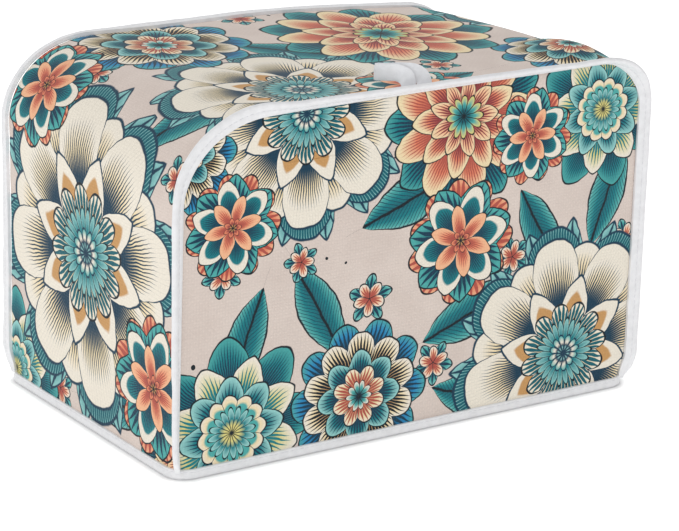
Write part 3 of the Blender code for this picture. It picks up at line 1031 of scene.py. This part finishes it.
def add_cover():
    cloth_stations = arch_stations(CLOTH_FOOT)
    tape_stations = arch_stations(TAPE_FOOT)
    white = tape_material("white tape", srgb(235, 235, 237), 0.15)
    ribbon = tape_material("white ribbon", srgb(236, 237, 240), 0.25)
    thread = tape_material("white thread", srgb(226, 226, 229), 0.10)

    count = len(gusset_section(cloth_stations[0]))
    rows = [range(count * i, count * (i + 1)) for i in range(len(cloth_stations))]
    outer, inner, flat = [], [], []
    for station in cloth_stations:
        for angle, across in gusset_section(station):
            outer.append(gusset_point(station, angle, across, 0.0))
            inner.append(gusset_point(station, angle, across, CLOTH))
            flat.append((station.run, across))
    printed = cloth_material("printed gusset cloth", GUSSET_ART)
    gusset = sewn_sheet("gusset_cloth_sheet", outer, inner, grid_faces(rows), printed, flat, True)
    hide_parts("gusset")

    for word, front, seed in (("front", 1, 21.0), ("back", -1, 33.0)):
        artwork = []
        for kind, spots in PANEL_ART:
            artwork.append((kind, [(front * x, y, size, front * turn) for x, y, size, turn in spots]))
        outer, inner, flat = panel_layers(front, cloth_stations, seed)
        printed = cloth_material(f"printed {word} cloth", artwork)
        faces = panel_faces(cloth_stations)
        sewn_sheet(f"{word}_cloth_sheet", outer, inner, faces, printed, flat, front > 0)
        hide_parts(f"{word}_panel")

    for word, front in (("front", 1), ("back", -1)):
        column = f"{word}_lean"
        sections = [fin_section(s, front, column) for s in tape_stations]
        tape = loft(f"{word}_seam_tape", sections, False, white, front < 0)
        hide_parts(f"{word}_binding")
        rows = stitches(f"{word}_seam_stitches", seam_stitches(tape_stations, front, column), thread)

    path = hem_path()
    hem = loft("hem_tape_band", [hem_section(*at) for at in path], True, white)
    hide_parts("hem_binding")
    hem_rows = stitches("hem_stitches", hem_stitches(path), thread)

    points = loop_path()
    sections = [loop_section(points, i) for i in range(len(points))]
    loop = loft("pull_loop_ribbon", sections, False, ribbon)
    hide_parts("pull_loop")


def area_light(name, place, target, size, power):
    light = bpy.data.lights.new(name, "AREA")
    light.shape = "RECTANGLE"
    light.size, light.size_y = size
    light.energy = power
    made = bpy.data.objects.new(name, light)
    made.location = place
    made.rotation_euler = (Vector(target) - Vector(place)).to_track_quat("-Z", "Y").to_euler()
    bpy.context.scene.collection.objects.link(made)
    return made


def add_studio():
    scene = bpy.context.scene
    scene.view_settings.view_transform = "Standard"
    world = bpy.data.worlds.new("studio")
    world.use_nodes = True
    world.node_tree.nodes["Background"].inputs["Color"].default_value = (1.0, 1.0, 1.0, 1.0)
    world.node_tree.nodes["Background"].inputs["Strength"].default_value = WORLD_LIGHT
    scene.world = world

    material = bpy.data.materials.new("floor")
    material.use_nodes = True
    shader = material.node_tree.nodes["Principled BSDF"]
    shader.inputs["Base Color"].default_value = (0.9, 0.9, 0.9, 1.0)
    shader.inputs["Roughness"].default_value = 0.9
    shader.inputs["Specular IOR Level"].default_value = 0.0
    shader.inputs["Emission Color"].default_value = (1.0, 1.0, 1.0, 1.0)
    art = Art(material.node_tree)
    # The floor glows evenly, but its glow fades out within CONTACT_SHADE of the hem's outside: a
    # painted contact shadow along the foot of the cover.
    apart = art.vector("ABSOLUTE", art.node("ShaderNodeTexCoord").outputs["Object"])
    corner = (WIDTH / 2 - HEM_EDGE_RADIUS, DEPTH / 2 - HEM_EDGE_RADIUS, 0.0)
    apart = art.vector("SUBTRACT", apart, corner)
    apart = art.vector("MAXIMUM", apart, (0.0, 0.0, 0.0))
    outside = art.math("SUBTRACT", art.vector("LENGTH", apart), HEM_EDGE_RADIUS)
    glow_with_painted_shadow = art.fade(outside, HEM_OUTSIDE, HEM_OUTSIDE + CONTACT_SHADE, 0.0, FLOOR_GLOW)
    material.node_tree.links.new(glow_with_painted_shadow, shader.inputs["Emission Strength"])
    mesh = bpy.data.meshes.new("floor")
    mesh.from_pydata([(-6, -6, 0), (6, -6, 0), (6, 6, 0), (-6, 6, 0)], [], [(0, 1, 2, 3)])
    mesh.materials.append(material)
    floor = bpy.data.objects.new("floor", mesh)
    scene.collection.objects.link(floor)

    area_light("key", (-1.35, -0.9, 1.0), (0, 0, 0.08), (1.2, 1.2), 5.5)
    area_light("back", (0.3, 1.8, 1.7), (0, 0, 0.12), (1.6, 1.2), 12.0)


def add_camera():
    yaw, pitch, roll = (math.radians(v) for v in (CAMERA_YAW, CAMERA_PITCH, CAMERA_ROLL))
    back = Vector((math.sin(yaw) * math.cos(pitch), -math.cos(yaw) * math.cos(pitch), math.sin(pitch)))
    right = (-back).cross(Vector((0, 0, 1))).normalized()
    up = right.cross(-back)
    right_turned = right * math.cos(roll) + up * math.sin(roll)
    up_turned = up * math.cos(roll) - right * math.sin(roll)
    place = Matrix((right_turned, up_turned, back)).transposed().to_4x4()
    place.translation = CAMERA_TARGET + back * CAMERA_DISTANCE
    lens = bpy.data.cameras.new("camera")
    wide, high = IMAGE_SIZE
    lens.sensor_width = SENSOR_WIDTH
    lens.lens = CAMERA_PIXELS / wide * lens.sensor_width
    lens.shift_x = (wide / 2 - CAMERA_MIDDLE[0]) / wide
    lens.shift_y = (CAMERA_MIDDLE[1] - high / 2) / wide
    made = bpy.data.objects.new("camera", lens)
    made.matrix_world = place
    bpy.context.scene.collection.objects.link(made)
    bpy.context.scene.camera = made


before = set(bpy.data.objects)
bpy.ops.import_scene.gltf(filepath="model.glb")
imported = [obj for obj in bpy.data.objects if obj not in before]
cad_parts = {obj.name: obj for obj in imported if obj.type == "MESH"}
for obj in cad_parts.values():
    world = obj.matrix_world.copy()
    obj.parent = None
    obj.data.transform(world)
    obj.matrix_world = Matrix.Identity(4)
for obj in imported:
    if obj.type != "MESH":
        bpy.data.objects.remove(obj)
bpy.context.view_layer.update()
add_cover()
add_studio()
add_camera()
bpy.context.view_layer.update()
